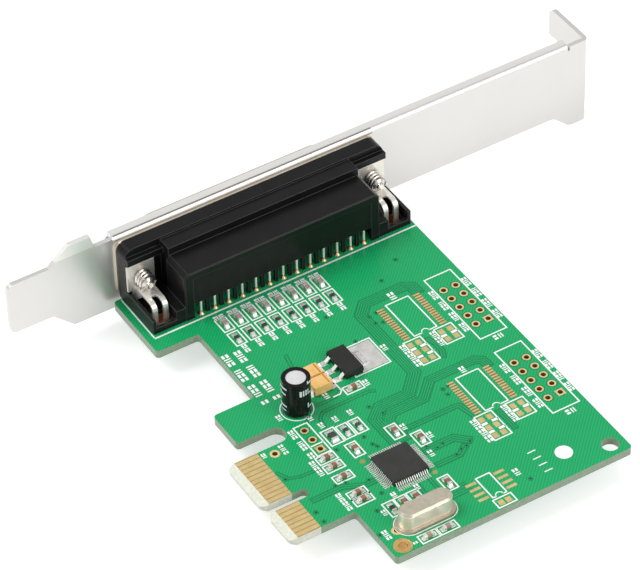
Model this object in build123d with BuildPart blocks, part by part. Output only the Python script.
from build123d import *
import math
import os

# A parallel port expansion card, carried by a folded steel bracket.
# Frame: X runs along the card, away from the bracket, Y runs from the slot edge of the board
# towards the bracket's fixing tab, and Z out of the component side. The origin is on the component
# face, on the centre line of the key slot, at the edge that goes into the computer's slot.

# Circuit board
BOARD_THICK = 1.6
BOARD_BACK_X = -57.45
BOARD_FRONT_X = 20.75
BOARD_HIGH_Y = 58.95
BOARD_LOW_Y = 12.4
BOARD_CORNER_R = 0.7
INNER_CORNER_R = 0.6
LOBE_FRONT_X = -42.35
LOBE_LOW_Y = 4.15
HOOK_BACK_X = -23.75
HOOK_FRONT_X = -15.85
HOOK_LOW_Y = 4.25
TONGUE_BACK_X = -12.15
TONGUE_FRONT_X = 8.15
TONGUE_BEVEL_LENGTH = 1.35
TONGUE_CORNER_R = 1.3
TONGUE_BEVEL_DEPTH = 0.5
HOOK_SLOT_END_Y = 10.65
KEY_SLOT_WIDTH = 1.9
KEY_SLOT_END_Y = 7.45

# Contacts of the board's slot edge
EDGE_CONTACT_PITCH = 1.0
EDGE_CONTACT_WIDTH = 0.7
EDGE_CONTACT_THICK = 0.05
EDGE_CONTACT_LOW_Y = 1.5
EDGE_CONTACT_HIGH_Y = 5.85
LONG_GROUP_COUNT = 11
SHORT_GROUP_COUNT = 7
LONG_GROUP_FIRST_X = -11.5
SHORT_GROUP_FIRST_X = 1.5

# Holes of the board
CORNER_HOLE = (18.19, 56.19)
CORNER_HOLE_R = 1.58
HEADER_PITCH = 2.54
HEADER_HOLE_R = 0.5
HEADER_CENTRES = ((-23.45, 54.95), (-1.67, 55.02))
HEADER_COLUMNS = 5
POWER_HEADER_CENTRE = (-9.76, 15.28)
POWER_HEADER_COUNT = 3
GROUND_HOLE = (18.95, 14.75)
GROUND_HOLE_R = 1.0
SMALL_HOLES = ((-10.35, 8.3), (15.55, 15.75))
SMALL_HOLE_R = 0.5
SMALL_HOLE_SIDES = 8
LEAD_HOLE_R = 0.4

# Bracket
SHEET = 0.86
BRACKET_INNER_X = -58.65
BRACKET_OUTER_X = BRACKET_INNER_X - SHEET
BRACKET_LOW_Y = -15.15
BRACKET_HIGH_Y = 104.89
TONGUE_END_Y = -6.95
SLANT_END_Y = -2.9
BRACKET_TONGUE_LOW_Z = 1.3
BRACKET_TONGUE_HIGH_Z = 12.2
BRACKET_TONGUE_R = 1.3
BRACKET_LOW_Z = -2.6
WIDE_PART_HIGH_Z = 15.75
WIDE_PART_END_Y = 1.25
FLANGE_START_Y = 5.55
FLANGE_END_Y = 100.35
RELIEF_LOW_Z = 13.0
RELIEF_SLANT = 0.75
FLANGE_HIGH_Z = 13.3
FLANGE_OUT = 2.05
FLANGE_BEND_R = 0.3
BUMP_START_Y = 97.45
BUMP_END_Y = 100.95
BUMP_LOW_Z = -5.75
BUMP_R = 2.0
TAB_RELIEF_WIDTH = 0.35
TAB_RELIEF_LOW_Z = 12.0
TAB_BEND_R = 1.05
TAB_REACH = 11.43
TAB_HIGH_Z = 12.95
TAB_END_LOW_Z = 6.9
TAB_STEP = 8.9
TAB_CORNER_R = 1.5
TAB_NOTCH_WIDTH = 4.42
TAB_NOTCH_CENTRE = 5.2
TAB_NOTCH_TOP_Z = 0.8

# Connector: centre of its face, and the standard outline of a twenty-five way shell
CONNECTOR_Y = 32.15
CONNECTOR_Z = 6.03
PIN_PITCH = 2.77
UPPER_COUNT = 13
LOWER_COUNT = 12
SCREW_REACH = 6.9
SCREW_SPACING = (UPPER_COUNT - 1) * PIN_PITCH + 2 * SCREW_REACH
SHELL_SIDE = 3.0
SHELL_WIDTH = SCREW_SPACING + 2 * SHELL_SIDE
SHELL_HEIGHT = 12.55
SHELL_CORNER_R = 2.0
SHELL_SHEET = 0.5
NOSE_WIDTH = 38.38
NOSE_HEIGHT = 7.9
NOSE_SLOPE = 10
NOSE_CORNER_R = 2.4
NOSE_REACH = 5.6
CUTOUT_GAP = 0.35
SCREW_HOLE_R = 1.55
FRONT_FLANGE_X = BRACKET_INNER_X + SHELL_SHEET
REAR_FLANGE_X = -55.35
RIB_X = -52.45
HOOD_X = -46.2

# Connector contacts
UPPER_ROW_Z = CONNECTOR_Z + 1.42
LOWER_ROW_Z = CONNECTOR_Z - 1.42
UPPER_TAIL_X = -46.65
LOWER_TAIL_X = -49.49
PIN_WIDTH = 0.36
PIN_THICK = 0.3
PIN_BEND = 0.5
PIN_TAIL_Z = -2.7
TAIL_HOLE_GAP = 0.15
CONTACT_TIP_X = BRACKET_INNER_X - NOSE_REACH + 1.2
FACE_HOLE_R = 0.62
INSERT_SETBACK = 0.3

# Connector housing
HOOD_HIGH_Z = 10.3
HOOD_SIDE = 3.13
HOOD_WIDTH = (UPPER_COUNT - 1) * PIN_PITCH + 2 * HOOD_SIDE
HOOD_EDGE = 0.2
HOOD_CHAMFER = 0.8
RIB_STEP = 0.55
RIB_WIDTH = HOOD_WIDTH - 2 * RIB_STEP
RIB_HIGH_Z = 11.85
HOUSING_SIDE = 2.73
HOUSING_WIDTH = SCREW_SPACING + 2 * HOUSING_SIDE
HOUSING_HIGH_Z = 12.3
HOUSING_CORNER_R = 1.8
RECESS_SIDE = 1.7
RECESS_WIDTH = HOOD_WIDTH - 2 * RECESS_SIDE
RECESS_EDGE = 0.12
RECESS_DEPTH = 0.2
RECESS_HIGH_Z = 8.75
COMB_HIGH_Z = 3.0
COMB_TOOTH = 0.65
HOOD_PANEL_X = -47.05
HOOD_WALL = 1.2
HOOD_ROOF_Z = 9.1
LEG_FRONT_X = -46.35
LEG_WALL = 0.6
LEG_HIGH_Z = 3.0
LEG_FLOOR_Z = 0.6
LEG_LIP_Z = 1.15
LEG_LIP_THICK = 0.6
BAY_REACH = 1.92
SHELF_X = -54.35
SHELF_LOW_Z = 9.5
SHELF_HIGH_Z = 10.8
STUD_GAP = 0.1
STUD_HOLE_SIDES = 12
FLOOR_HOLE = 3.4

# Board locks, one stamping round each screw
LOCK_SHEET = 0.45
LOCK_WIDTH = 5.4
LOCK_LOW_WIDTH = 3.7
LOCK_SHOULDER_Z = 3.3
LOCK_HIGH_Z = 8.9
LOCK_LOW_Z = 1.3
LOCK_STRAP_HIGH_Z = 4.45
LOCK_STRAP_WIDTH = 3.05
LOCK_RIB_HIGH_X = -52.3
LOCK_RIB_HIGH_Z = 3.5
LOCK_RIB_LOW_X = -54.5
LOCK_FORK_X = -50.85
LOCK_PRONG_X = -48.4
LOCK_PRONG_WIDTH = 0.95
LOCK_PRONG_BEND_R = 1.5
LOCK_PRONG_END_Z = -2.5
LOCK_THREAD_R = 1.42
LOCK_HOLE_X = -48.75
LOCK_HOLE_R = 1.6

# Jackscrews
HEX_ACROSS_FLATS = 4.76
HEX_LENGTH = 5.0
JACK_TAP_R = 1.14
JACK_TAP_DEPTH = 4.6
STUD_R = 1.4
STUD_END_X = -52.35

# Radial electrolytic capacitor
CAN_CENTRE = (-17.45, 16.95)
CAN_R = 2.5
CAN_STANDOFF = 0.4
CAN_HIGH_Z = 7.4
CAN_WALL = 0.15
SLEEVE_THICK = 0.1
SLEEVE_LIP = 0.75
CAN_LEAD_PITCH = 2.0
CAN_LEAD_R = 0.25
BUNG_HEIGHT = 1.3
LEAD_TAIL_Z = -2.4

# Crystal in its drawn can
CRYSTAL_CENTRE = (15.45, 21.35)
CRYSTAL_CAN = (9.9, 3.5, 3.1)
CRYSTAL_CAN_EDGE = 0.35
CRYSTAL_BASE = (11.1, 4.45, 0.5)
CRYSTAL_LEAD_PITCH = 4.88
CRYSTAL_LEAD_R = 0.22

# Controller chip
CHIP_CENTRE = (3.45, 24.1)
CHIP_BODY = 7.0
CHIP_HIGH_Z = 1.15
CHIP_STANDOFF = 0.12
CHIP_DRAFT = 10
CHIP_LEAD_PITCH = 0.4
CHIP_LEADS_A_SIDE = 16
CHIP_LEAD_WIDTH = 0.18
CHIP_LEAD_THICK = 0.12
CHIP_LEAD_FOOT = 0.55
PARTING_BAND = 0.2
CHIP_SPAN = 9.0

# Voltage regulator
REGULATOR_CENTRE = (-22.0, 29.4)
REGULATOR_BODY = (6.5, 3.5)
REGULATOR_HIGH_Z = 1.65
REGULATOR_SPAN = 7.0
REGULATOR_PITCH = 2.3
REGULATOR_LEAD_WIDTH = 0.7
REGULATOR_TAB_WIDTH = 3.0
REGULATOR_STANDOFF = 0.05
REGULATOR_LEAD_THICK = 0.25
REGULATOR_FOOT = 0.9

# Tantalum capacitors: centres, and body length, width and height
TANTALUM_CENTRES = ((-22.4, 22.8), (-19.4, 22.8))
TANTALUM_SIZE = (2.75, 3.6, 1.9)
TANTALUM_DRAFT = 6
TANTALUM_STANDOFF = 0.15
TANTALUM_STRIP = 0.12
TANTALUM_STRIP_WIDTH = 2.1
TANTALUM_STRIP_FOOT = 0.8

# Small chip parts: centres and turn in degrees, long side along X at 0
FILTER_PITCH = 2.757
FILTER_COUNT = 8
FILTER_CAPACITOR = (-41.9, 17.45)
FILTER_RESISTOR = (-37.8, 17.45)
GREY_CAPACITOR_SPOTS = ((19.5, 19.45, 90), (19.5, 23.1, 90))
BROWN_CAPACITOR_SPOTS = (
    (-3.95, 20.0, 0),
    (-3.9, 27.8, 0),
    (-0.2, 30.6, 0),
    (11.0, 20.15, 0),
    (11.0, 22.5, 0),
    (11.0, 28.65, 0),
    (-4.75, 14.95, 90),
    (-2.45, 14.95, 90),
    (0.45, 14.95, 90),
    (4.9, 14.95, 90),
    (6.6, 14.95, 90),
    (-16.55, 27.65, 90),
)
RESISTOR_SPOTS = ((-8.45, 21.05, 0), (-8.45, 23.45, 0), (11.0, 17.85, 0))
LARGE_RESISTOR_SPOT = (-8.55, 18.45, 0)
CAPACITOR_SIZE = (1.6, 0.8, 0.75)
RESISTOR_SIZE = (1.6, 0.8, 0.45)
LARGE_RESISTOR_SIZE = (2.0, 1.25, 0.55)
TERMINAL_LENGTH = 0.36
TERMINAL_WALL = 0.03

os.makedirs("parts", exist_ok=True)


def save(builder, name):
    builder.part.label = name
    export_step(builder.part, f"parts/{name}.step")


def ends(spacing, centre):
    return centre - spacing / 2, centre + spacing / 2


def row(first, pitch, count):
    return [first + pitch * i for i in range(count)]


def close_to(vertices, spots, reach=0.02):
    return [v for v in vertices if any(math.dist((v.X, v.Y), spot) < reach for spot in spots)]


screw_ys = ends(SCREW_SPACING, CONNECTOR_Y)
upper_ys = row(CONNECTOR_Y - PIN_PITCH * (UPPER_COUNT - 1) / 2, PIN_PITCH, UPPER_COUNT)
lower_ys = row(CONNECTOR_Y - PIN_PITCH * (LOWER_COUNT - 1) / 2, PIN_PITCH, LOWER_COUNT)
edge_contact_xs = row(LONG_GROUP_FIRST_X, EDGE_CONTACT_PITCH, LONG_GROUP_COUNT)
edge_contact_xs += row(SHORT_GROUP_FIRST_X, EDGE_CONTACT_PITCH, SHORT_GROUP_COUNT)


# The board: lobe behind the connector, hook, and the tongue that is split by the key slot
outer_corners = [
    (BOARD_BACK_X, LOBE_LOW_Y),
    (BOARD_BACK_X, BOARD_HIGH_Y),
    (BOARD_FRONT_X, BOARD_HIGH_Y),
    (BOARD_FRONT_X, BOARD_LOW_Y),
    (HOOK_FRONT_X, HOOK_LOW_Y),
    (HOOK_BACK_X, HOOK_LOW_Y),
    (LOBE_FRONT_X, LOBE_LOW_Y),
]
inner_corners = [
    (TONGUE_FRONT_X, BOARD_LOW_Y),
    (HOOK_BACK_X, BOARD_LOW_Y),
    (LOBE_FRONT_X, BOARD_LOW_Y),
]
board_outline = outer_corners[:4] + [
    inner_corners[0],
    (TONGUE_FRONT_X, 0),
    (TONGUE_BACK_X, 0),
    (TONGUE_BACK_X, HOOK_SLOT_END_Y),
    (HOOK_FRONT_X, HOOK_SLOT_END_Y),
    *outer_corners[4:6],
    *inner_corners[1:],
    outer_corners[6],
]
tail_spots = [(UPPER_TAIL_X, y) for y in upper_ys] + [(LOWER_TAIL_X, y) for y in lower_ys]
can_lead_spots = [(x, CAN_CENTRE[1]) for x in ends(CAN_LEAD_PITCH, CAN_CENTRE[0])]
crystal_lead_spots = [(CRYSTAL_CENTRE[0], y) for y in ends(CRYSTAL_LEAD_PITCH, CRYSTAL_CENTRE[1])]

with BuildPart() as circuit_board:
    with BuildSketch(Plane.XY.offset(-BOARD_THICK)) as board_sketch:
        with BuildLine():
            Polyline(*board_outline, close=True)
        make_face()
        fillet(close_to(board_sketch.vertices(), outer_corners), radius=BOARD_CORNER_R)
        fillet(close_to(board_sketch.vertices(), inner_corners), radius=INNER_CORNER_R)
        with Locations(((HOOK_FRONT_X + TONGUE_BACK_X) / 2, HOOK_SLOT_END_Y)):
            Circle((TONGUE_BACK_X - HOOK_FRONT_X) / 2, mode=Mode.SUBTRACT)
        with Locations((0, 0)):
            Rectangle(KEY_SLOT_WIDTH, 2 * KEY_SLOT_END_Y, mode=Mode.SUBTRACT)
        with Locations((0, KEY_SLOT_END_Y)):
            Circle(KEY_SLOT_WIDTH / 2, mode=Mode.SUBTRACT)
        tongue_corner_xs = (TONGUE_BACK_X, -KEY_SLOT_WIDTH / 2, KEY_SLOT_WIDTH / 2, TONGUE_FRONT_X)
        tongue_corners = [(x, 0) for x in tongue_corner_xs]
        fillet(close_to(board_sketch.vertices(), tongue_corners), radius=TONGUE_CORNER_R)
        with Locations(CORNER_HOLE):
            Circle(CORNER_HOLE_R, mode=Mode.SUBTRACT)
        for centre in HEADER_CENTRES:
            with Locations(centre), GridLocations(HEADER_PITCH, HEADER_PITCH, HEADER_COLUMNS, 2):
                RegularPolygon(HEADER_HOLE_R, SMALL_HOLE_SIDES, mode=Mode.SUBTRACT)
        with Locations(POWER_HEADER_CENTRE), GridLocations(HEADER_PITCH, 1, POWER_HEADER_COUNT, 1):
            RegularPolygon(HEADER_HOLE_R, SMALL_HOLE_SIDES, mode=Mode.SUBTRACT)
        with Locations(GROUND_HOLE):
            Circle(GROUND_HOLE_R, mode=Mode.SUBTRACT)
        with Locations(*SMALL_HOLES):
            RegularPolygon(SMALL_HOLE_R, SMALL_HOLE_SIDES, mode=Mode.SUBTRACT)
        with Locations(*[(LOCK_HOLE_X, y) for y in screw_ys]):
            Circle(LOCK_HOLE_R, mode=Mode.SUBTRACT)
        with Locations(*tail_spots):
            Rectangle(PIN_THICK + 2 * TAIL_HOLE_GAP, PIN_WIDTH + 2 * TAIL_HOLE_GAP, mode=Mode.SUBTRACT)
        with Locations(*can_lead_spots, *crystal_lead_spots):
            RegularPolygon(LEAD_HOLE_R, SMALL_HOLE_SIDES, mode=Mode.SUBTRACT)
    extrude(amount=BOARD_THICK)
    with BuildSketch(Plane.YZ.offset(TONGUE_BACK_X - 1)):
        with BuildLine():
            Polyline(
                (0, 0),
                (TONGUE_BEVEL_LENGTH, 0),
                (0, -TONGUE_BEVEL_DEPTH),
                close=True,
            )
        make_face()
        mirror(about=Plane.XZ.offset(BOARD_THICK / 2))
    extrude(amount=TONGUE_FRONT_X - TONGUE_BACK_X + 2, mode=Mode.SUBTRACT)
save(circuit_board, "circuit_board")


# Gold contacts on both faces of the tongue
with BuildPart() as edge_contacts:
    edge_contact_y = (EDGE_CONTACT_LOW_Y + EDGE_CONTACT_HIGH_Y) / 2
    for base_z in (0, -BOARD_THICK - EDGE_CONTACT_THICK):
        with BuildSketch(Plane.XY.offset(base_z)):
            with Locations(*[(x, edge_contact_y) for x in edge_contact_xs]):
                Rectangle(EDGE_CONTACT_WIDTH, EDGE_CONTACT_HIGH_Y - EDGE_CONTACT_LOW_Y)
        extrude(amount=EDGE_CONTACT_THICK)
save(edge_contacts, "edge_contacts")


def shell_outline(grow):
    """Sketches the D of the connector's nose, wider on the side of the longer contact row."""
    half_height = NOSE_HEIGHT / 2 + grow
    wide = NOSE_WIDTH / 2 + grow
    narrow = wide - 2 * half_height * math.tan(math.radians(NOSE_SLOPE))
    with BuildSketch(Plane.XY, mode=Mode.PRIVATE) as outline:
        with BuildLine():
            Polyline(
                (CONNECTOR_Y + wide, CONNECTOR_Z + half_height),
                (CONNECTOR_Y - wide, CONNECTOR_Z + half_height),
                (CONNECTOR_Y - narrow, CONNECTOR_Z - half_height),
                (CONNECTOR_Y + narrow, CONNECTOR_Z - half_height),
                close=True,
            )
        make_face()
        fillet(outline.vertices(), radius=NOSE_CORNER_R + grow)
    return outline.sketch


# The bracket: one folded sheet, with the fixing tab turned outwards at its high end
# and a stiffening flange turned outwards along its upper edge
flat_high_z = FLANGE_HIGH_Z - SHEET - FLANGE_BEND_R
flat_high_y = BRACKET_HIGH_Y - TAB_BEND_R
bracket_tongue_corners = [
    (BRACKET_LOW_Y, BRACKET_TONGUE_LOW_Z),
    (BRACKET_LOW_Y, BRACKET_TONGUE_HIGH_Z),
]
bump_corners = [(BUMP_START_Y, BRACKET_LOW_Z), (BUMP_END_Y, BUMP_LOW_Z)]
bracket_outline = [
    bracket_tongue_corners[0],
    (TONGUE_END_Y, BRACKET_TONGUE_LOW_Z),
    (SLANT_END_Y, BRACKET_LOW_Z),
    *bump_corners,
    (flat_high_y, BUMP_LOW_Z),
    (flat_high_y, TAB_HIGH_Z),
    (FLANGE_END_Y + TAB_RELIEF_WIDTH, TAB_HIGH_Z),
    (FLANGE_END_Y + TAB_RELIEF_WIDTH, TAB_RELIEF_LOW_Z),
    (FLANGE_END_Y, TAB_RELIEF_LOW_Z),
    (FLANGE_END_Y, flat_high_z),
    (FLANGE_START_Y, flat_high_z),
    (FLANGE_START_Y, RELIEF_LOW_Z),
    (WIDE_PART_END_Y + RELIEF_SLANT, RELIEF_LOW_Z),
    (WIDE_PART_END_Y, WIDE_PART_HIGH_Z),
    (SLANT_END_Y, WIDE_PART_HIGH_Z),
    (TONGUE_END_Y, BRACKET_TONGUE_HIGH_Z),
    bracket_tongue_corners[1],
]
flange_bend = (BRACKET_OUTER_X - FLANGE_BEND_R, flat_high_z)
tab_bend = (BRACKET_INNER_X - TAB_BEND_R, flat_high_y)
tab_end_x = BRACKET_INNER_X - TAB_REACH
notch_x = BRACKET_INNER_X - TAB_NOTCH_CENTRE
notch_round_z = TAB_NOTCH_TOP_Z - TAB_NOTCH_WIDTH / 2

with BuildPart() as mounting_bracket:
    with BuildSketch(Plane.YZ.offset(BRACKET_OUTER_X)) as bracket_flat:
        with BuildLine():
            Polyline(*bracket_outline, close=True)
        make_face()
        fillet(close_to(bracket_flat.vertices(), bracket_tongue_corners), radius=BRACKET_TONGUE_R)
        fillet(close_to(bracket_flat.vertices(), bump_corners), radius=BUMP_R)
        add(shell_outline(CUTOUT_GAP), mode=Mode.SUBTRACT)
        with Locations(*[(y, CONNECTOR_Z) for y in screw_ys]):
            Circle(SCREW_HOLE_R, mode=Mode.SUBTRACT)
    extrude(amount=SHEET)
    with BuildSketch(Plane.XZ.offset(-FLANGE_END_Y)):
        with Locations(flange_bend):
            Circle(FLANGE_BEND_R + SHEET)
            Circle(FLANGE_BEND_R, mode=Mode.SUBTRACT)
            Rectangle(
                FLANGE_BEND_R + SHEET,
                FLANGE_BEND_R + SHEET,
                align=(Align.MIN, Align.MIN),
                mode=Mode.INTERSECT,
            )
        with Locations((flange_bend[0], FLANGE_HIGH_Z)):
            Rectangle(
                FLANGE_OUT - SHEET - FLANGE_BEND_R,
                SHEET,
                align=(Align.MAX, Align.MAX),
            )
    extrude(amount=FLANGE_END_Y - FLANGE_START_Y)
    with BuildSketch(Plane.XY.offset(BUMP_LOW_Z)):
        with Locations(tab_bend):
            Circle(TAB_BEND_R)
            Circle(TAB_BEND_R - SHEET, mode=Mode.SUBTRACT)
            Rectangle(
                TAB_BEND_R,
                TAB_BEND_R,
                align=(Align.MIN, Align.MIN),
                mode=Mode.INTERSECT,
            )
    extrude(amount=TAB_HIGH_Z - BUMP_LOW_Z)
    with BuildSketch(Plane.XZ.offset(-BRACKET_HIGH_Y)) as tab_flat:
        with BuildLine():
            Polyline(
                (tab_bend[0], BUMP_LOW_Z),
                (tab_bend[0], TAB_HIGH_Z),
                (tab_end_x, TAB_HIGH_Z),
                (tab_end_x, TAB_END_LOW_Z),
                (BRACKET_INNER_X - TAB_STEP, TAB_END_LOW_Z),
                (BRACKET_INNER_X - TAB_STEP, BUMP_LOW_Z),
                close=True,
            )
        make_face()
        fillet(close_to(tab_flat.vertices(), [(tab_end_x, TAB_HIGH_Z)]), radius=TAB_CORNER_R)
        with Locations((notch_x, notch_round_z)):
            Circle(TAB_NOTCH_WIDTH / 2, mode=Mode.SUBTRACT)
            Rectangle(
                TAB_NOTCH_WIDTH,
                notch_round_z - BUMP_LOW_Z,
                align=(Align.CENTER, Align.MAX),
                mode=Mode.SUBTRACT,
            )
    extrude(amount=SHEET)
save(mounting_bracket, "mounting_bracket")


# Metal front shell: a flange behind the bracket and the D that passes through it
nose_front_x = BRACKET_INNER_X - NOSE_REACH
with BuildPart() as front_shell:
    with BuildSketch(Plane.YZ.offset(BRACKET_INNER_X)):
        with Locations((CONNECTOR_Y, CONNECTOR_Z)):
            RectangleRounded(SHELL_WIDTH, SHELL_HEIGHT, SHELL_CORNER_R)
        add(shell_outline(-SHELL_SHEET), mode=Mode.SUBTRACT)
        with Locations(*[(y, CONNECTOR_Z) for y in screw_ys]):
            Circle(SCREW_HOLE_R, mode=Mode.SUBTRACT)
    extrude(amount=SHELL_SHEET)
    with BuildSketch(Plane.YZ.offset(nose_front_x)):
        add(shell_outline(0))
        add(shell_outline(-SHELL_SHEET), mode=Mode.SUBTRACT)
    extrude(amount=NOSE_REACH)
save(front_shell, "front_shell")


def contact(row_z, tail_x):
    """One stamped contact: a flat strip that runs back from its tip and turns down into the board."""
    with BuildPart() as piece:
        with BuildSketch(Plane.XZ) as strip:
            with BuildLine():
                Polyline(
                    (CONTACT_TIP_X, row_z + PIN_THICK / 2),
                    (tail_x + PIN_THICK / 2, row_z + PIN_THICK / 2),
                    (tail_x + PIN_THICK / 2, PIN_TAIL_Z),
                    (tail_x - PIN_THICK / 2, PIN_TAIL_Z),
                    (tail_x - PIN_THICK / 2, row_z - PIN_THICK / 2),
                    (CONTACT_TIP_X, row_z - PIN_THICK / 2),
                    close=True,
                )
            make_face()
            outside = [(tail_x + PIN_THICK / 2, row_z + PIN_THICK / 2)]
            inside = [(tail_x - PIN_THICK / 2, row_z - PIN_THICK / 2)]
            chamfer(close_to(strip.vertices(), outside), length=PIN_BEND + PIN_THICK)
            chamfer(close_to(strip.vertices(), inside), length=PIN_BEND)
        extrude(amount=PIN_WIDTH / 2, both=True)
    return piece.part


upper_contact = contact(UPPER_ROW_Z, UPPER_TAIL_X)
with BuildPart() as upper_contacts:
    for y in upper_ys:
        add(upper_contact.moved(Location((0, y, 0))))
save(upper_contacts, "upper_contacts")

lower_contact = contact(LOWER_ROW_Z, LOWER_TAIL_X)
with BuildPart() as lower_contacts:
    for y in lower_ys:
        add(lower_contact.moved(Location((0, y, 0))))
save(lower_contacts, "lower_contacts")


# Moulded insert that fills the nose, with a hole round each contact's tip
with BuildPart() as face_insert:
    with BuildSketch(Plane.YZ.offset(nose_front_x + INSERT_SETBACK)):
        add(shell_outline(-SHELL_SHEET))
    extrude(amount=FRONT_FLANGE_X - nose_front_x - INSERT_SETBACK)
    with BuildSketch(Plane.YZ.offset(nose_front_x)):
        with Locations(*[(y, UPPER_ROW_Z) for y in upper_ys], *[(y, LOWER_ROW_Z) for y in lower_ys]):
            RegularPolygon(FACE_HOLE_R, SMALL_HOLE_SIDES)
    extrude(amount=FRONT_FLANGE_X - nose_front_x, mode=Mode.SUBTRACT)
save(face_insert, "face_insert")


# Moulded housing: rear flange, stepped rib, hood over the bent contacts with its comb,
# and an open foot at each end for a board lock
hood_ys = ends(HOOD_WIDTH, CONNECTOR_Y)
housing_ys = ends(HOUSING_WIDTH, CONNECTOR_Y)


def foot_span(sign, inner, outer):
    """Y range of a stretch of a foot, measured outwards from the connector's centre."""
    return sorted((CONNECTOR_Y + sign * inner, CONNECTOR_Y + sign * outer))


def block(xs, ys, zs, mode=Mode.ADD):
    """A straight block between two values on each axis."""
    with BuildSketch(Plane.YZ.offset(xs[0]), mode=Mode.PRIVATE) as face:
        with Locations((ys[0], zs[0])):
            Rectangle(ys[1] - ys[0], zs[1] - zs[0], align=(Align.MIN, Align.MIN))
    extrude(face.sketch, amount=xs[1] - xs[0], dir=(1, 0, 0), mode=mode)


half_housing = HOUSING_WIDTH / 2
half_hood = HOOD_WIDTH / 2
foot_bay_outer = half_housing - LEG_WALL
with BuildPart() as connector_housing:
    with BuildSketch(Plane.YZ.offset(FRONT_FLANGE_X)) as rear_flange:
        with Locations((CONNECTOR_Y, 0)):
            Rectangle(HOUSING_WIDTH, HOUSING_HIGH_Z, align=(Align.CENTER, Align.MIN))
        top_corners = [(y, HOUSING_HIGH_Z) for y in housing_ys]
        fillet(close_to(rear_flange.vertices(), top_corners), radius=HOUSING_CORNER_R)
    extrude(amount=REAR_FLANGE_X - FRONT_FLANGE_X)
    block((REAR_FLANGE_X, SHELF_X), housing_ys, (SHELF_LOW_Z, SHELF_HIGH_Z))
    block((REAR_FLANGE_X, RIB_X), ends(RIB_WIDTH, CONNECTOR_Y), (0, RIB_HIGH_Z))
    with BuildSketch(Plane.YZ.offset(RIB_X)) as hood_end:
        with Locations((CONNECTOR_Y, 0)):
            Rectangle(HOOD_WIDTH, HOOD_HIGH_Z, align=(Align.CENTER, Align.MIN))
        chamfer(close_to(hood_end.vertices(), [(y, HOOD_HIGH_Z) for y in hood_ys]), length=HOOD_CHAMFER)
    extrude(amount=HOOD_X - RIB_X)
    hood_rim = connector_housing.faces().sort_by(Axis.X)[-1].edges().sort_by(Axis.Z)[1:]
    chamfer(hood_rim, length=HOOD_EDGE)
    block((HOOD_X - RECESS_DEPTH, HOOD_X), ends(RECESS_WIDTH, CONNECTOR_Y), (0, RECESS_HIGH_Z), Mode.SUBTRACT)
    recess_edges = connector_housing.faces().sort_by(Axis.X)[-1].edges().filter_by(Axis.Y)
    chamfer(recess_edges.sort_by(Axis.Z)[-2], length=RECESS_EDGE)
    hollow_ys = ends(HOOD_WIDTH - 2 * HOOD_WALL, CONNECTOR_Y)
    block((REAR_FLANGE_X, HOOD_PANEL_X), hollow_ys, (0, HOOD_ROOF_Z), Mode.SUBTRACT)
    block((HOOD_PANEL_X, HOOD_X), ends(RECESS_WIDTH, CONNECTOR_Y), (0, COMB_HIGH_Z), Mode.SUBTRACT)
    for y in lower_ys:
        block((HOOD_PANEL_X, HOOD_X - RECESS_DEPTH), ends(COMB_TOOTH, y), (0, COMB_HIGH_Z))
    for sign in (-1, 1):
        block((REAR_FLANGE_X, LEG_FRONT_X), foot_span(sign, half_hood, half_housing), (0, LEG_HIGH_Z))
        bay = foot_span(sign, SCREW_SPACING / 2 - BAY_REACH, foot_bay_outer)
        block((REAR_FLANGE_X, LEG_FRONT_X - LEG_LIP_THICK), bay, (LEG_FLOOR_Z, LEG_HIGH_Z), Mode.SUBTRACT)
        block((LEG_FRONT_X - LEG_LIP_THICK, LEG_FRONT_X), bay, (LEG_LIP_Z, LEG_HIGH_Z), Mode.SUBTRACT)
    with BuildSketch(Plane.YZ.offset(FRONT_FLANGE_X)):
        with Locations(*[(y, CONNECTOR_Z) for y in screw_ys]):
            RegularPolygon(STUD_R + STUD_GAP, STUD_HOLE_SIDES)
    extrude(amount=REAR_FLANGE_X - FRONT_FLANGE_X, mode=Mode.SUBTRACT)
    with BuildSketch(Plane.XY):
        with Locations(*[(LOCK_HOLE_X, y) for y in screw_ys]):
            Rectangle(FLOOR_HOLE, FLOOR_HOLE)
    extrude(amount=LEG_FLOOR_Z, mode=Mode.SUBTRACT)
    add(upper_contacts.part, mode=Mode.SUBTRACT)
    add(lower_contacts.part, mode=Mode.SUBTRACT)
save(connector_housing, "connector_housing")


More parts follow.
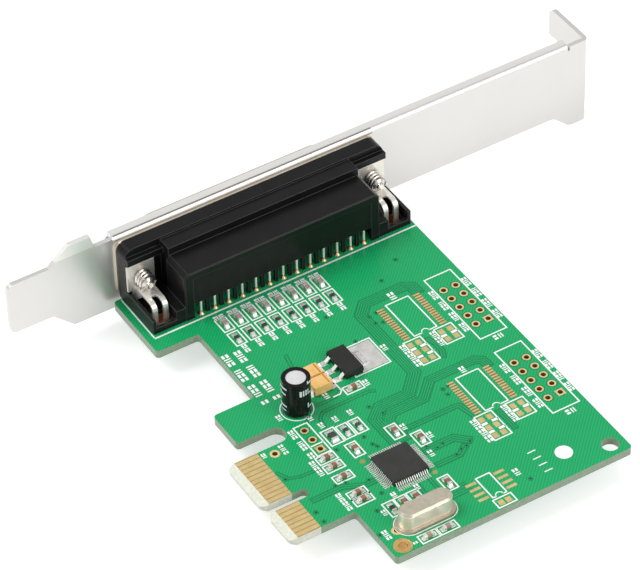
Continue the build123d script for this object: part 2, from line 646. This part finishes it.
# Board locks: shouldered plate behind the flange, strap under the screw with a rib on one side,
# and two prongs
lock_back_x = REAR_FLANGE_X
lock_strap_low_z = LOCK_STRAP_HIGH_Z - LOCK_SHEET
lock_rib_outline = [
    (lock_back_x, LOCK_LOW_Z),
    (lock_back_x, LOCK_STRAP_HIGH_Z),
    (LOCK_RIB_HIGH_X, LOCK_STRAP_HIGH_Z),
    (LOCK_RIB_HIGH_X, LOCK_RIB_HIGH_Z),
    (LOCK_RIB_LOW_X, LOCK_LOW_Z),
]
with BuildPart() as lock:
    with BuildSketch(Plane.YZ.offset(lock_back_x)):
        with Locations((0, LOCK_SHOULDER_Z)):
            Rectangle(LOCK_WIDTH, LOCK_HIGH_Z - LOCK_SHOULDER_Z, align=(Align.CENTER, Align.MIN))
            Rectangle(LOCK_LOW_WIDTH, LOCK_SHOULDER_Z - LOCK_LOW_Z, align=(Align.CENTER, Align.MAX))
    extrude(amount=LOCK_SHEET)
    with BuildSketch(Plane.XZ) as strap_side:
        with BuildLine():
            Polyline(
                (lock_back_x, LOCK_STRAP_HIGH_Z),
                (LOCK_PRONG_X, LOCK_STRAP_HIGH_Z),
                (LOCK_PRONG_X, LOCK_PRONG_END_Z),
                (LOCK_PRONG_X - LOCK_SHEET, LOCK_PRONG_END_Z),
                (LOCK_PRONG_X - LOCK_SHEET, lock_strap_low_z),
                (lock_back_x, lock_strap_low_z),
                close=True,
            )
        make_face()
        outside = [(LOCK_PRONG_X, LOCK_STRAP_HIGH_Z)]
        inside = [(LOCK_PRONG_X - LOCK_SHEET, lock_strap_low_z)]
        fillet(close_to(strap_side.vertices(), outside), radius=LOCK_PRONG_BEND_R)
        fillet(close_to(strap_side.vertices(), inside), radius=LOCK_PRONG_BEND_R - LOCK_SHEET)
    extrude(amount=LOCK_STRAP_WIDTH / 2, both=True)
    with BuildSketch(Plane.XZ.offset(LOCK_STRAP_WIDTH / 2 - LOCK_SHEET)):
        with BuildLine():
            Polyline(*lock_rib_outline, close=True)
        make_face()
    extrude(amount=LOCK_SHEET)
    fork_width = LOCK_STRAP_WIDTH - 2 * LOCK_PRONG_WIDTH
    with BuildSketch(Plane.XY.offset(LOCK_PRONG_END_Z)):
        with Locations((LOCK_FORK_X + fork_width / 2, 0)):
            Circle(fork_width / 2)
            Rectangle(
                LOCK_PRONG_X - LOCK_FORK_X,
                fork_width,
                align=(Align.MIN, Align.CENTER),
            )
    extrude(amount=LOCK_STRAP_HIGH_Z - LOCK_PRONG_END_Z, mode=Mode.SUBTRACT)
    with BuildSketch(Plane.YZ.offset(lock_back_x)):
        with Locations((0, CONNECTOR_Z)):
            RegularPolygon(LOCK_THREAD_R, STUD_HOLE_SIDES, major_radius=False)
    extrude(amount=LOCK_SHEET, mode=Mode.SUBTRACT)
with BuildPart() as board_locks:
    for y in screw_ys:
        add(lock.part.moved(Location((0, y, 0))))
save(board_locks, "board_locks")


# Jackscrews: hexagonal head with a tapped hole, and a stud into the board lock
with BuildPart() as jackscrews:
    head_x = BRACKET_OUTER_X - HEX_LENGTH
    for y in screw_ys:
        with BuildSketch(Plane.YZ.offset(head_x)):
            with Locations((y, CONNECTOR_Z)):
                RegularPolygon(HEX_ACROSS_FLATS / 2, 6, major_radius=False)
        extrude(amount=HEX_LENGTH)
        with BuildSketch(Plane.YZ.offset(head_x)):
            with Locations((y, CONNECTOR_Z)):
                Circle(JACK_TAP_R)
        extrude(amount=JACK_TAP_DEPTH, mode=Mode.SUBTRACT)
        with BuildSketch(Plane.YZ.offset(BRACKET_OUTER_X)):
            with Locations((y, CONNECTOR_Z)):
                Circle(STUD_R)
        extrude(amount=STUD_END_X - BRACKET_OUTER_X)
save(jackscrews, "jackscrews")


# Radial electrolytic capacitor: can, printed sleeve, rubber bung and two leads
can_axis = Plane((CAN_CENTRE[0], CAN_CENTRE[1], 0), x_dir=(1, 0, 0), z_dir=(0, -1, 0))
can_inner_r = CAN_R - SLEEVE_THICK
groove_z = CAN_STANDOFF + BUNG_HEIGHT
with BuildPart() as capacitor_can:
    with BuildSketch(can_axis) as can_half:
        with BuildLine():
            Polyline(
                (0, groove_z),
                (can_inner_r - CAN_WALL, groove_z),
                (can_inner_r - CAN_WALL, CAN_STANDOFF),
                (can_inner_r, CAN_STANDOFF),
                (can_inner_r, CAN_HIGH_Z - SLEEVE_THICK),
                (0, CAN_HIGH_Z - SLEEVE_THICK),
                close=True,
            )
        make_face()
    revolve(axis=Axis((CAN_CENTRE[0], CAN_CENTRE[1], 0), (0, 0, 1)))
save(capacitor_can, "capacitor_can")

with BuildPart() as capacitor_sleeve:
    with BuildSketch(Plane.XY.offset(CAN_STANDOFF)):
        with Locations(CAN_CENTRE):
            Circle(CAN_R)
            Circle(can_inner_r, mode=Mode.SUBTRACT)
    extrude(amount=CAN_HIGH_Z - CAN_STANDOFF)
    with BuildSketch(Plane.XY.offset(CAN_HIGH_Z - SLEEVE_THICK)):
        with Locations(CAN_CENTRE):
            Circle(CAN_R)
            Circle(CAN_R - SLEEVE_LIP, mode=Mode.SUBTRACT)
    extrude(amount=SLEEVE_THICK)
save(capacitor_sleeve, "capacitor_sleeve")

with BuildPart() as capacitor_leads:
    with BuildSketch(Plane.XY.offset(LEAD_TAIL_Z)):
        with Locations(*can_lead_spots):
            RegularPolygon(CAN_LEAD_R, SMALL_HOLE_SIDES)
    extrude(amount=CAN_STANDOFF - LEAD_TAIL_Z)
save(capacitor_leads, "capacitor_leads")

with BuildPart() as capacitor_bung:
    with BuildSketch(Plane.XY.offset(CAN_STANDOFF)):
        with Locations(CAN_CENTRE):
            Circle(can_inner_r - CAN_WALL)
    extrude(amount=BUNG_HEIGHT)
save(capacitor_bung, "capacitor_bung")


# Crystal: drawn can welded to a flanged base, and two leads
def stadium(length, width):
    SlotOverall(length, width, rotation=90)


with BuildPart() as crystal_base:
    with BuildSketch(Plane.XY):
        with Locations(CRYSTAL_CENTRE):
            stadium(CRYSTAL_BASE[0], CRYSTAL_BASE[1])
    extrude(amount=CRYSTAL_BASE[2])
save(crystal_base, "crystal_base")

with BuildPart() as crystal_can:
    with BuildSketch(Plane.XY.offset(CRYSTAL_BASE[2])):
        with Locations(CRYSTAL_CENTRE):
            stadium(CRYSTAL_CAN[0], CRYSTAL_CAN[1])
    extrude(amount=CRYSTAL_CAN[2])
    chamfer(crystal_can.faces().sort_by(Axis.Z)[-1].edges(), length=CRYSTAL_CAN_EDGE)
save(crystal_can, "crystal_can")

with BuildPart() as crystal_leads:
    with BuildSketch(Plane.XY.offset(LEAD_TAIL_Z)):
        with Locations(*crystal_lead_spots):
            RegularPolygon(CRYSTAL_LEAD_R, SMALL_HOLE_SIDES)
    extrude(amount=-LEAD_TAIL_Z)
save(crystal_leads, "crystal_leads")


def drafted_body(centre, size, low_z, high_z, draft):
    """A moulded chip body: a straight band at the parting line, drafted above and below."""
    band_low = (low_z + high_z - PARTING_BAND) / 2
    with BuildPart() as body:
        with BuildSketch(Plane.XY.offset(band_low)) as band:
            with Locations(centre):
                Rectangle(*size)
        extrude(amount=PARTING_BAND)
        extrude(band.sketch, amount=band_low - low_z, dir=(0, 0, -1), taper=draft)
        extrude(body.faces().sort_by(Axis.Z)[-1], amount=high_z - band_low - PARTING_BAND, taper=draft)
    return body.part


def gull_lead(half_body, half_span, foot, thick, width, lead_z):
    """One formed lead that leaves the body along X and stands on the board."""
    with BuildPart() as lead:
        with BuildSketch(Plane.XZ):
            with BuildLine():
                Polyline(
                    (half_body, lead_z),
                    (half_span - foot, thick),
                    (half_span, thick),
                    (half_span, 0),
                    (half_span - foot - thick / 2, 0),
                    (half_body, lead_z - thick),
                    close=True,
                )
            make_face()
        extrude(amount=width / 2, both=True)
    return lead.part


# Controller chip with leads on its four sides
with BuildPart() as controller_chip:
    add(drafted_body(CHIP_CENTRE, (CHIP_BODY, CHIP_BODY), CHIP_STANDOFF, CHIP_HIGH_Z, CHIP_DRAFT))
save(controller_chip, "controller_chip")

chip_lead_z = (CHIP_STANDOFF + CHIP_HIGH_Z + CHIP_LEAD_THICK) / 2
chip_lead = gull_lead(
    CHIP_BODY / 2, CHIP_SPAN / 2, CHIP_LEAD_FOOT, CHIP_LEAD_THICK, CHIP_LEAD_WIDTH, chip_lead_z
)
chip_place = Location((CHIP_CENTRE[0], CHIP_CENTRE[1], 0))
chip_lead_first = -CHIP_LEAD_PITCH * (CHIP_LEADS_A_SIDE - 1) / 2
with BuildPart() as controller_leads:
    for turn in (0, 90, 180, 270):
        for y in row(chip_lead_first, CHIP_LEAD_PITCH, CHIP_LEADS_A_SIDE):
            add(chip_lead.moved(chip_place * Rotation(0, 0, turn) * Location((0, y, 0))))
save(controller_leads, "controller_leads")


# Voltage regulator: three leads on one side and a wide one on the other
with BuildPart() as regulator_body:
    add(drafted_body(REGULATOR_CENTRE, REGULATOR_BODY, REGULATOR_STANDOFF, REGULATOR_HIGH_Z, CHIP_DRAFT))
save(regulator_body, "regulator_body")

regulator_lead_z = (REGULATOR_STANDOFF + REGULATOR_HIGH_Z + REGULATOR_LEAD_THICK) / 2
regulator_place = Location((REGULATOR_CENTRE[0], REGULATOR_CENTRE[1], 0))
with BuildPart() as regulator_leads:
    for turn, spots, width in (
        (-90, row(-REGULATOR_PITCH, REGULATOR_PITCH, 3), REGULATOR_LEAD_WIDTH),
        (90, [0], REGULATOR_TAB_WIDTH),
    ):
        lead = gull_lead(
            REGULATOR_BODY[1] / 2,
            REGULATOR_SPAN / 2,
            REGULATOR_FOOT,
            REGULATOR_LEAD_THICK,
            width,
            regulator_lead_z,
        )
        for y in spots:
            add(lead.moved(regulator_place * Rotation(0, 0, turn) * Location((0, y, 0))))
save(regulator_leads, "regulator_leads")


# Tantalum capacitors: drafted bodies with a strip folded under each end
with BuildPart() as tantalum_capacitors:
    for centre in TANTALUM_CENTRES:
        add(drafted_body(centre, TANTALUM_SIZE[:2], TANTALUM_STANDOFF, TANTALUM_SIZE[2], TANTALUM_DRAFT))
save(tantalum_capacitors, "tantalum_capacitors")

tantalum_strip_z = (TANTALUM_STANDOFF + TANTALUM_SIZE[2] + PARTING_BAND) / 2
with BuildPart() as tantalum_terminals:
    for centre in TANTALUM_CENTRES:
        for sign in (-1, 1):
            end_y = centre[1] + sign * TANTALUM_SIZE[1] / 2
            with BuildSketch(Plane.YZ.offset(centre[0] - TANTALUM_STRIP_WIDTH / 2)):
                with BuildLine():
                    Polyline(
                        (end_y, tantalum_strip_z),
                        (end_y + sign * TANTALUM_STRIP, tantalum_strip_z),
                        (end_y + sign * TANTALUM_STRIP, 0),
                        (end_y - sign * TANTALUM_STRIP_FOOT, 0),
                        (end_y - sign * TANTALUM_STRIP_FOOT, TANTALUM_STANDOFF),
                        (end_y, TANTALUM_STANDOFF),
                        close=True,
                    )
                make_face()
            extrude(amount=TANTALUM_STRIP_WIDTH)
save(tantalum_terminals, "tantalum_terminals")


def place_blocks(spots, length, width, height, low_z):
    for x, y, turn in spots:
        with Locations(Location((x, y, low_z), (0, 0, turn))):
            Box(length, width, height, align=(Align.CENTER, Align.CENTER, Align.MIN))


def chip_part(spots, size):
    """Ceramic bodies of one size, between their end caps."""
    length, width, height = size
    with BuildPart() as bodies:
        place_blocks(
            spots,
            length - 2 * TERMINAL_LENGTH,
            width - 2 * TERMINAL_WALL,
            height - 2 * TERMINAL_WALL,
            TERMINAL_WALL,
        )
    return bodies.part


def chip_terminals(spots, size):
    """Metal caps at both ends of each body."""
    length, width, height = size
    reach = (length - TERMINAL_LENGTH) / 2
    with BuildPart() as caps:
        for x, y, turn in spots:
            for side in (-reach, reach):
                with Locations(Location((x, y, 0), (0, 0, turn)) * Location((side, 0, 0))):
                    Box(TERMINAL_LENGTH, width, height, align=(Align.CENTER, Align.CENTER, Align.MIN))
    return caps.part


filter_ys = row(FILTER_CAPACITOR[1], FILTER_PITCH, FILTER_COUNT)
grey_spots = [(FILTER_CAPACITOR[0], y, 0) for y in filter_ys] + list(GREY_CAPACITOR_SPOTS)
resistor_spots = [(FILTER_RESISTOR[0], y, 0) for y in filter_ys] + list(RESISTOR_SPOTS)

with BuildPart() as grey_capacitors:
    add(chip_part(grey_spots, CAPACITOR_SIZE))
save(grey_capacitors, "grey_capacitors")

with BuildPart() as brown_capacitors:
    add(chip_part(BROWN_CAPACITOR_SPOTS, CAPACITOR_SIZE))
save(brown_capacitors, "brown_capacitors")

with BuildPart() as resistors:
    add(chip_part(resistor_spots, RESISTOR_SIZE))
    add(chip_part([LARGE_RESISTOR_SPOT], LARGE_RESISTOR_SIZE))
save(resistors, "resistors")

with BuildPart() as capacitor_terminals:
    add(chip_terminals(grey_spots, CAPACITOR_SIZE))
    add(chip_terminals(BROWN_CAPACITOR_SPOTS, CAPACITOR_SIZE))
save(capacitor_terminals, "capacitor_terminals")

with BuildPart() as resistor_terminals:
    add(chip_terminals(resistor_spots, RESISTOR_SIZE))
    add(chip_terminals([LARGE_RESISTOR_SPOT], LARGE_RESISTOR_SIZE))
save(resistor_terminals, "resistor_terminals")
